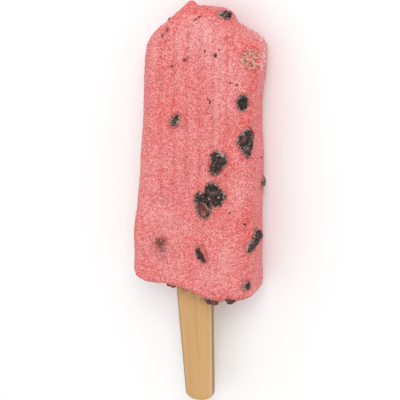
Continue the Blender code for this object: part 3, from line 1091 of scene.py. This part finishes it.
FORMS = {
    "berry_cap": BerryForm(
        stretch=(1.10, 1.0, 0.95),
        shift=(-0.0014, 0.0, 0.0),
        lobes=(Lobe((0.9, 0.5, 0.35), 0.0034, 12.0),),
        film=0.08,
        frost=0.40,
    ),
    "berry_upper_right": BerryForm(look=BerryLook.SMOOTH_TOP, stretch=(0.87, 1.04, 1.0)),
    "berry_right": BerryForm(stretch=(0.98, 0.95, 1.0), lobes=(Lobe((0.36, -0.93, 0.1), 0.0021, 14.0),)),
    "berry_middle": BerryForm(
        stretch=(0.98, 1.10, 1.0),
        shift=(0.0, 0.0007, 0.0),
        lobes=(Lobe((-0.62, -0.78, 0.1), 0.0014, 8.0),),
        veil=(0.30, -0.36, 0.0),
    ),
    "berry_pair_high": BerryForm(
        stretch=(1.14, 1.02, 1.0),
        lobes=(Lobe((0.35, -0.9, 0.1), 0.0006),),
        gloss=(Stain((9.8, -12.8, 23.1), 1.5, 1.5),),
        glint=(Stain((10.1, -12.6, 23.1), 0.3, 1.2),),
    ),
    "berry_pair_low": BerryForm(
        look=BerryLook.HUSK,
        stretch=(1.10, 1.02, 1.0),
        lobes=(Lobe((-0.12, -0.99, 0.0), 0.0007),),
    ),
    "berry_low_left": BerryForm(stretch=(1.1, 1.0, 1.0), film=0.47, frost=-0.85),
    "berry_low_middle": BerryForm(
        stretch=(1.15, 1.1, 1.0), lobes=(Lobe((0.6, -0.8, 0.0), 0.0010),), veil=(1.60, 0.90, 0.0), frost=-0.7
    ),
    "berry_right_edge": BerryForm(
        stretch=(1.0, 1.0, 1.05),
        lobes=(Lobe((-0.36, -0.50, 0.78), 0.0034, 4.5), Lobe((0.75, 0.65, 0.1), 0.0015, 6.0)),
        gloss=(Stain((20.5, -29.0, 17.0), 1.0, 0.9),),
        glint=(Stain((20.0, -30.5, 20.5), 0.7, 1.0), Stain((18.0, -32.5, 22.0), 0.7, 1.0)),
    ),
    "berry_right_side": BerryForm(stretch=(0.90, 0.85, 0.9), shift=(-0.0004, 0.0, 0.0)),
    "berry_low_right": BerryForm(
        stretch=(0.95, 1.05, 1.05),
        lobes=(Lobe((0.5, 0.8, 0.3), 0.0005),),
        film=0.20,
    ),
    "berry_base_near": BerryForm(look=BerryLook.FLAKE, stretch=(1.0, 0.95, 0.9), film=-0.25, frost=-1.0),
    "berry_base_far": BerryForm(look=BerryLook.FLAKE, stretch=(0.9, 0.95, 0.9), film=-0.15, frost=-1.0),
}


@dataclass
class Berry:
    """One berry, made over the solid that the frame holds for it."""

    node: str
    form: BerryForm
    subdivisions: int = 3
    swell: float = 1.05
    wrinkle: float = 0.00055
    smooth_share: float = 0.30
    unevenness: float = 0.10
    flake_unevenness: float = 0.32
    lift_off_table: float = 0.00012
    hollow_depth: float = 0.0014
    rim_height: float = 0.00035
    middle: Array = field(init=False)
    size: Array = field(init=False)
    seed: int = field(init=False)
    outward: Array = field(init=False)
    mesh: Mesh = field(init=False)
    ball: BVHTree = field(init=False)
    top: Array = field(init=False)
    fold_shade: Array = field(init=False)
    flesh: Array = field(init=False)
    rim: Array = field(init=False)

    def __post_init__(self) -> None:
        """Reads the berry's place from the frame."""
        low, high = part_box(self.node)
        self.middle = np.array((low + high) / 2) + np.array(self.form.shift)
        self.size = np.array(high - low)
        self.seed = sum(ord(letter) for letter in self.node)

    def form_in(self, skin: BVHTree) -> None:
        """Shapes the berry's own skin.

        Args:
            skin: The plain skin of the ice, whose nearest face says which way is out.
        """
        _, normal, _, _ = skin.find_nearest(Vector(self.middle))
        self.outward = np.array(normal)
        mesh = copy_of_node(self.node, self.subdivisions)
        arms = points_of(mesh) + np.array(self.form.shift) - self.middle
        arms = arms * self.swell * np.array(self.form.stretch)
        ways = arms / np.linalg.norm(arms, axis=1)[:, None]
        for lobe in self.form.lobes:
            way = np.array(lobe.way) / np.linalg.norm(lobe.way)
            arms = arms + ways * (lobe.reach * np.exp(-lobe.sharpness * (1 - ways @ way)))[:, None]
        uneven = self.flake_unevenness if self.form.look is BerryLook.FLAKE else self.unevenness
        uneven = 1 + uneven * layered(self.middle + arms, 330.0, self.seed + 3, 2)
        points = self.middle + arms * uneven[:, None]
        write_points(mesh, points)
        self.ball = tree_of(mesh)
        normals = normals_of(mesh)
        self.top = ease(0.0, 0.35, (points - self.middle) @ self.outward / self.size.max())
        ridges = 1 - 2 * np.abs(layered(points, 540.0, self.seed, 2))
        # Painted shade where the wrinkles fold in.
        self.fold_shade = 1 - ease(0.15, 0.60, ridges)
        depth = self.wrinkle * (self.smooth_share if self.form.look is BerryLook.SMOOTH_TOP else 1.0)
        rise = depth * (ridges - 0.55) + 0.00014 * layered(points, 1500.0, self.seed + 5, 2)
        self.flesh, self.rim = np.zeros(len(points)), np.zeros(len(points))
        if self.form.look is BerryLook.HUSK:
            hollow = self.open_husk(points)
            rise = rise * (1 - self.flesh) + hollow
        elif self.form.look is BerryLook.FLAKE:
            self.flesh = 0.45 + 0.55 * lattice(points, 700.0, self.seed)
        points = points + normals * rise[:, None]
        if self.outward[2] < -0.5:
            points[:, 2] = np.maximum(points[:, 2], self.lift_off_table)
        write_points(mesh, points)
        self.mesh = mesh

    def gap(self, points: Array) -> Array:
        """Measures how far outside the berry points are.

        Args:
            points: Places, one a row.

        Returns:
            The distance of each, negative inside and 1 m where it isn't near.
        """
        gaps = np.ones(len(points))
        for i in np.flatnonzero(np.all(np.abs(points - self.middle) < self.size * 0.7 + 0.0055, axis=1)):
            hit, normal, _, _ = self.ball.find_nearest(Vector(points[i]))
            away = Vector(points[i]) - hit
            gaps[i] = math.copysign(away.length, away.dot(normal))
        return gaps

    def build(self, material: Material, skin: BVHTree) -> None:
        """Finishes the berry.

        Args:
            material: The berries' shared material.
            skin: The finished skin of the ice.
        """
        points = points_of(self.mesh)
        film, edge = self.film(points, skin)
        paint(self.mesh, "film", film)
        paint(self.mesh, "edge", edge + self.form.frost)
        paint(self.mesh, "fold_shade", self.fold_shade * (1 - self.flesh) * (1 - self.rim))
        rind = min(1 + self.form.frost, 1.0) * edge * (1 - film) * (points[:, 2] > BARE_BELOW)
        paint(self.mesh, "rind", rind * ease(-0.2, 0.4, lattice(points, 700.0, self.seed + 11)))
        paint(self.mesh, "flesh", self.flesh)
        # The rim layer also takes the painted glints.
        paint(self.mesh, "rim", self.rim + stained(points, self.form.glint))
        gloss = 0.75 * self.top**3 * (self.form.look is BerryLook.SMOOTH_TOP)
        paint(self.mesh, "gloss", gloss + stained(points, self.form.gloss))
        keep(place(f"{self.node}_skin", self.mesh, material), "berry_skin", self.node)

    @staticmethod
    def all_skins(berries: list["Berry"]) -> Piece:
        """Joins copies of every berry's skin, for frost to be strewn on.

        Args:
            berries: The finished berries.

        Returns:
            An object that isn't in the scene.
        """
        joined = bmesh.new()
        for berry in berries:
            joined.from_mesh(berry.mesh)
        return bpy.data.objects.new("all_skins", mesh_of(joined, "all_skins"))

    def film(self, points: Array, skin: BVHTree) -> tuple[Array, Array]:
        """How much red film and how much frost cover the berry, most where it meets the ice.

        Args:
            points: The berry's points.
            skin: The finished skin of the ice.

        Returns:
            The film's and the frost's strength at each point.
        """
        height = np.empty(len(points))
        for i, point in enumerate(points):
            near, normal, _, _ = skin.find_nearest(Vector(point))
            height[i] = (Vector(point) - near).dot(normal)
        film = 1 - ease(0.00002, 0.00050, height)
        edge = 1 - ease(0.0003, 0.0014, height)
        arms = points - self.middle
        flat = arms - (arms @ self.outward)[:, None] * self.outward
        veil = flat @ np.array(self.form.veil) / (0.36 * self.size[:2].min())
        veil = ease(0.10, 0.80, veil + 0.40 * layered(points, 600.0, self.seed + 13, 2))
        if self.outward[2] < -0.5:
            film = film * 0.45
        return self.form.film + film * 0.85 + 0.85 * veil * (np.abs(self.form.veil).max() > 0), edge

    def open_husk(self, points: Array) -> Array:
        """Opens a husk: a hollow in the lower part of its top, with a pale broken rim round it.

        Args:
            points: The berry's points.

        Returns:
            How far each point moves.
        """
        centre = self.middle + np.array([-0.0002, -0.0014, 0.0])
        x, y, _ = ((points - centre) / np.array([0.0021, 0.0030, 1.0])).T
        share = np.sqrt((x * 0.95 + y * 0.25) ** 2 + y**2)
        self.flesh = (1 - ease(0.60, 1.0, share)) * self.top
        rim = bell(share, 1.02, 0.13) * self.top
        self.rim = 0.85 * rim * ease(-0.25, 0.45, lattice(points, 520.0, 97))
        return self.rim_height * rim - self.hollow_depth * self.flesh


# ---- scattered grains
@dataclass(frozen=True)
class Strewing:
    """Small grains that a Geometry Nodes tree strews over a surface where a painted strength lets it."""

    name: str
    where: str
    density: float
    smallest: float
    largest: float
    seed: int
    slim: Place = (0.6, 0.6, 0.5)
    stout: Place = (1.3, 1.1, 0.9)

    def tree(self, material: Material) -> bpy.types.GeometryNodeTree:
        """Builds the node tree.

        Args:
            material: What the grains are made of.

        Returns:
            The tree, with named inputs for its sizes.
        """
        tree = bpy.data.node_groups.new(f"{self.name}_strewing", "GeometryNodeTree")
        tree.interface.new_socket("Geometry", in_out="INPUT", socket_type="NodeSocketGeometry")
        for label in ("Density", "Smallest", "Largest"):
            tree.interface.new_socket(label, in_out="INPUT", socket_type="NodeSocketFloat")
        tree.interface.new_socket("Seed", in_out="INPUT", socket_type="NodeSocketInt")
        tree.interface.new_socket("Geometry", in_out="OUTPUT", socket_type="NodeSocketGeometry")
        given = tree.nodes.new("NodeGroupInput").outputs
        seed, random = given["Seed"], "FunctionNodeRandomValue"

        where = {"Name": self.where}
        where = add_node(tree, "GeometryNodeInputNamedAttribute", "Attribute", where, data_type="FLOAT")
        thinned = add_node(tree, "ShaderNodeMath", 0, {0: where, 1: given["Density"]}, operation="MULTIPLY")
        strewn = {"Mesh": given["Geometry"], "Density": thinned, "Seed": seed}
        strewn = add_node(tree, "GeometryNodeDistributePointsOnFaces", "Points", strewn)
        size = {2: given["Smallest"], 3: given["Largest"], "Seed": seed}
        size = add_node(tree, random, 1, size, data_type="FLOAT")
        shape = add_node(tree, random, 0, {0: self.slim, 1: self.stout}, data_type="FLOAT_VECTOR")
        sized = add_node(tree, "ShaderNodeVectorMath", 0, {0: shape, "Scale": size}, operation="SCALE")
        turn = add_node(tree, random, 0, {1: (math.tau, math.tau, math.tau)}, data_type="FLOAT_VECTOR")
        grain = add_node(tree, "GeometryNodeMeshIcoSphere", "Mesh", {"Radius": 1.0, "Subdivisions": 1})
        placed = {"Points": strewn, "Instance": grain, "Rotation": turn, "Scale": sized}
        placed = add_node(tree, "GeometryNodeInstanceOnPoints", 0, placed)
        real = add_node(tree, "GeometryNodeRealizeInstances", 0, {0: placed})
        dressed = {"Geometry": real, "Material": material}
        dressed = add_node(tree, "GeometryNodeSetMaterial", 0, dressed)
        feed(tree, tree.nodes.new("NodeGroupOutput"), {0: dressed})
        return tree

    def build(self, surface: Piece, material: Material, slot: str) -> None:
        """Strews the grains and makes them one plain mesh.

        Args:
            surface: What they lie on.
            material: What they are made of.
            slot: The record's material slot.
        """
        piece = add_object(self.name, surface.data.copy())
        tree = self.tree(material)
        modifier = piece.modifiers.new("strewing", "NODES")
        modifier.node_group = tree
        values = {"Density": self.density, "Seed": self.seed}
        values |= {"Smallest": self.smallest, "Largest": self.largest}
        for item in tree.interface.items_tree:
            if item.in_out == "INPUT" and item.name in values:
                modifier[item.identifier] = values[item.name]
        finished_mesh(piece).shade_smooth()
        keep(piece, slot)


# ---- pips and skins
class Scrap(NamedTuple):
    """A pip or a torn bit of skin: its place and half sizes in millimetres, its turn, its way out."""

    at: Place
    size: Place
    turn: float
    outward: Place = FRONT


@dataclass
class Scraps:
    """The pips and loose skins that show on the ice."""

    finish: SkinFinish = field(default_factory=SkinFinish)
    share: float = 0.76
    lift: float = 0.35
    raggedness: float = 0.45
    places: tuple[Scrap, ...] = (
        Scrap((-8.4, 31.2, 20.4), (0.5, 0.65, 0.4), 0.4),
        Scrap((-3.9, 33.7, 20.2), (0.65, 0.85, 0.4), 0.9),
        Scrap((-3.2, 34.5, 20.2), (0.35, 0.55, 0.3), 0.2),
        Scrap((6.8, 36.3, 20.0), (0.6, 0.95, 0.4), 0.3),
        Scrap((8.0, 38.1, 19.8), (0.35, 0.45, 0.3), 0.3),
        Scrap((3.0, 37.3, 19.9), (0.3, 0.75, 0.3), -0.2),
        Scrap((-0.2, 48.1, 16.5), (1.0, 0.5, 0.3), 0.5, (0.0, 0.7, 0.7)),
        Scrap((-1.4, 47.0, 17.0), (0.35, 1.1, 0.3), -0.5, (0.0, 0.7, 0.7)),
        Scrap((5.5, 20.3, 21.1), (0.45, 0.85, 0.4), -0.2),
        Scrap((5.0, 21.2, 21.1), (0.35, 0.6, 0.3), 0.6),
        Scrap((14.8, 26.9, 20.7), (0.6, 0.4, 0.3), 0.3),
        Scrap((12.4, 27.4, 20.8), (0.5, 0.35, 0.3), 0.2),
        Scrap((13.9, -18.0, 22.0), (0.45, 0.55, 0.4), 0.3),
        Scrap((17.2, -20.6, 21.7), (0.3, 0.4, 0.3), 0.6),
        Scrap((-11.0, 43.0, 18.2), (1.2, 0.5, 0.3), 0.9, (-0.2, 0.5, 0.85)),
        Scrap((-12.6, 41.2, 18.7), (0.9, 0.4, 0.3), 0.8, (-0.2, 0.4, 0.88)),
        Scrap((-12.4, 45.2, 12.0), (1.6, 0.7, 0.4), 1.2, (-0.7, 0.6, 0.3)),
        Scrap((-7.0, -49.4, 20.0), (1.1, 1.6, 1.0), 0.2, (0.0, -1.0, 0.2)),
        Scrap((-8.8, -49.0, 20.2), (1.3, 0.8, 0.9), 0.5, (0.0, -1.0, 0.2)),
        Scrap((7.3, -52.8, 20.5), (1.8, 0.8, 0.5), 0.1, (0.0, -0.9, 0.4)),
        Scrap((19.0, -22.0, 20.7), (1.1, 0.35, 0.3), 1.0, (0.4, 0.0, 0.9)),
        Scrap((-18.8, 9.0, 15.0), (0.6, 0.8, 0.4), 0.4, (-1.0, 0.0, 0.1)),
        Scrap((-20.5, -19.0, 11.0), (0.5, 0.8, 0.4), 0.9, (-1.0, 0.0, 0.0)),
        Scrap((20.0, -1.0, 9.0), (0.5, 0.7, 0.4), 0.3, (1.0, 0.0, 0.0)),
    )

    def build(self, surface: BVHTree) -> None:
        """Makes the scraps as one mesh, each half sunk in the ice.

        Args:
            surface: The slab's skin, which they are set on.
        """
        shape = bmesh.new()
        for number, scrap in enumerate(self.places):
            hit, _, _, _ = surface.find_nearest(Vector(scrap.at) * MM)
            outward = Vector(scrap.outward).normalized()
            turn = outward.to_track_quat("Z", "Y").to_matrix().to_4x4() @ Matrix.Rotation(scrap.turn, 4, "Z")
            scale = Matrix.Diagonal((*(self.share * size * MM for size in scrap.size), 1.0))
            shift = Matrix.Translation(hit + outward * scrap.size[2] * MM * self.lift)
            made = bmesh.ops.create_icosphere(shape, subdivisions=3, radius=1.0, matrix=shift @ turn @ scale)
            ragged = layered(np.array([v.co for v in made["verts"]]), 1100.0, 300 + number, 2)
            for vert, amount in zip(made["verts"], ragged * min(scrap.size[:2]) * MM * self.raggedness):
                vert.co += (vert.co - hit).normalized() * float(amount)
        keep(place("loose_skins", mesh_of(shape, "loose_skins"), self.finish.build()), "berry_skin")


# ---- the stick
@dataclass
class Stick:
    """The tapered wooden stick."""

    finish: StickFinish = field(default_factory=StickFinish)
    voxel: float = 0.00032
    ice_edge: float = -0.0500
    fibre_height: float = 0.00004
    wave_height: float = 0.00002

    def build(self) -> None:
        """Makes the stick over its solid, with softened edges and a grain that can be felt."""
        helper = add_object("stick_helper", copy_of_node("stick", 0))
        voxels = helper.modifiers.new("voxels", "REMESH")
        voxels.mode = "VOXEL"
        voxels.voxel_size = self.voxel
        softened = helper.modifiers.new("softened", "SMOOTH")
        softened.factor, softened.iterations = 0.5, 2
        mesh = finished_mesh(helper)
        bpy.data.objects.remove(helper)
        points, normals = points_of(mesh), normals_of(mesh)
        felt = self.fibre_height * layered(drawn_out(points, 0.05), 900.0, 5, 2)
        felt += self.wave_height * lattice(points, 300.0, 6)
        points = points + normals * felt[:, None]
        write_points(mesh, points)
        (x, y, _), (to_side, _, up) = points.T, normals.T
        # Stained, and painted shadow under the slab's edge, where the stick enters the ice.
        near = self.ice_edge - 0.25 * x + 0.0008 * lattice(points, 600.0, 8)
        stain_and_shade = ease(near - 0.0080, near - 0.0010, y)
        paint(mesh, "stain", stain_and_shade * (0.75 + 0.5 * layered(points, 420.0, 9)))
        # Painted shade on the side faces, more on the left.
        paint(mesh, "side", ease(0.30, 0.85, np.abs(to_side)) + 0.40 * ease(0.05, 0.50, -to_side))
        # Painted highlight where the front turns into the right side.
        paint(mesh, "edge_highlight", 0.8 * ease(0.25, 0.55, to_side) * ease(0.25, 0.60, up))
        keep(place("wooden_stick", mesh, self.finish.build()), "stick_wood", "stick")


# ---- the studio
@dataclass
class Studio:
    """A pale floor, soft light and a camera that looks down on the pop from its tip's right side."""

    floor_half: float = 1.2
    aside: float = math.radians(18.0)
    towards_tip: float = math.radians(18.0)
    roll: float = math.radians(1.2)
    distance: float = 0.5
    lens: float = 127.0
    look_at: Place = (0.0, -0.018, 0.011)
    shift: Span = (-0.00375, -0.0025)
    clip: Span = (0.01, 10.0)
    sky_strength: float = 0.79

    def build(self) -> None:
        """Makes the floor, the lights and the camera."""
        self.floor()
        self.sky()
        self.lamp("key", (0.22, 0.56, 0.80), size=0.50, power=3.4)
        self.lamp("fill", (-0.40, -0.15, 0.80), size=0.70, power=0.9)
        self.camera()

    def floor(self) -> None:
        """Makes the floor that the pop lies on."""
        mesh = bpy.data.meshes.new("floor")
        half = self.floor_half
        corners = [(-half, -half, 0.0), (half, -half, 0.0), (half, half, 0.0), (-half, half, 0.0)]
        mesh.from_pydata(corners, [], [(0, 1, 2, 3)])
        place("floor", mesh, FloorFinish().build())

    def sky(self) -> None:
        """Makes the even light from all round."""
        world = bpy.data.worlds.new("studio")
        world.use_nodes = True
        light = {"Color": (1.0, 1.0, 1.0, 1.0), "Strength": self.sky_strength}
        feed(world.node_tree, world.node_tree.nodes["Background"], light)
        bpy.context.scene.world = world
        bpy.context.scene.view_settings.view_transform = "Standard"

    def lamp(self, name: str, at: Place, size: float, power: float) -> None:
        """Hangs a soft square lamp that faces the pop.

        Args:
            name: Its name.
            at: Where it hangs.
            size: The length of its side.
            power: Its power in watts.
        """
        data = bpy.data.lights.new(name, "AREA")
        data.size, data.energy = size, power
        lamp = add_object(name, data)
        lamp.location = at
        lamp.rotation_euler = Vector(at).to_track_quat("Z", "Y").to_euler()

    def camera(self) -> None:
        """Sets up the camera."""
        flat = math.cos(self.towards_tip)
        back = Vector((math.sin(self.aside) * flat, math.sin(self.towards_tip), math.cos(self.aside) * flat))
        level_up = (Vector((0, 1, 0)) - back * back.y).normalized()
        right = level_up.cross(back) * math.cos(self.roll) + level_up * math.sin(self.roll)
        turn = Matrix((right, back.cross(right), back)).transposed().to_4x4()
        data = bpy.data.cameras.new("camera")
        data.lens = self.lens
        data.shift_x, data.shift_y = self.shift
        data.clip_start, data.clip_end = self.clip
        camera = add_object("camera", data)
        camera.matrix_world = Matrix.Translation(Vector(self.look_at) + back * self.distance) @ turn
        bpy.context.scene.camera = camera


def main() -> None:
    """Builds the pop's looks, sub-assembly by sub-assembly."""
    logging.basicConfig(level=logging.INFO, format="%(name)s %(message)s")
    Studio().build()
    nodes = [node for node in sorted(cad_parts) if "berry" in node]
    berries = [Berry(node, FORMS.get(node, BerryForm())) for node in nodes]
    ice = IceSlab().build(berries)
    skin = tree_of(ice.data)
    skin_material = BerryFinish().build()
    for berry in berries:
        berry.build(skin_material, skin)
    Stick().build()
    Scraps().build(skin)
    frost = CrystalFinish("frost", (0.88, 0.52, 0.50), (0.78, 0.30, 0.28), roughness=0.45).build()
    strewing = Strewing("frost_grains", "frost", density=4.5e5, smallest=0.00012, largest=0.00026, seed=3)
    strewing.build(ice, frost, "pink_ice")
    collar = CrystalFinish("collar", (0.76, 0.34, 0.31), (0.56, 0.10, 0.08), roughness=0.40).build()
    strewing = Strewing("berry_collars", "collar", density=5.5e6, smallest=0.00014, largest=0.00034, seed=6)
    strewing.build(ice, collar, "pink_ice")
    skins = Berry.all_skins(berries)
    strewing = Strewing("red_rims", "rind", density=4.0e6, smallest=0.00012, largest=0.00030, seed=7)
    strewing.build(skins, collar, "pink_ice")
    grey = CrystalFinish("skin_frost", (0.36, 0.25, 0.23), (0.16, 0.09, 0.08), roughness=0.45).build()
    strewing = Strewing("frosted_rims", "rind", density=4.5e6, smallest=0.00012, largest=0.00026, seed=8)
    strewing.build(skins, grey, "berry_skin")
    bpy.data.objects.remove(skins)
    crystal = CrystalFinish("pocket_crystal", (0.86, 0.55, 0.43), (0.56, 0.17, 0.13)).build()
    strewing = Strewing("pocket_crystals", "torn", density=5.5e6, smallest=0.00024, largest=0.00056, seed=4)
    strewing.build(ice, crystal, "pink_ice")
    rime = CrystalFinish("rime", (0.93, 0.74, 0.74), (0.84, 0.46, 0.46), roughness=0.3).build()
    strewing = Strewing("edge_rime", "rime", density=5.0e6, smallest=0.00018, largest=0.00048, seed=5)
    strewing.build(ice, rime, "pink_ice")


if __name__ == "__main__":
    main()
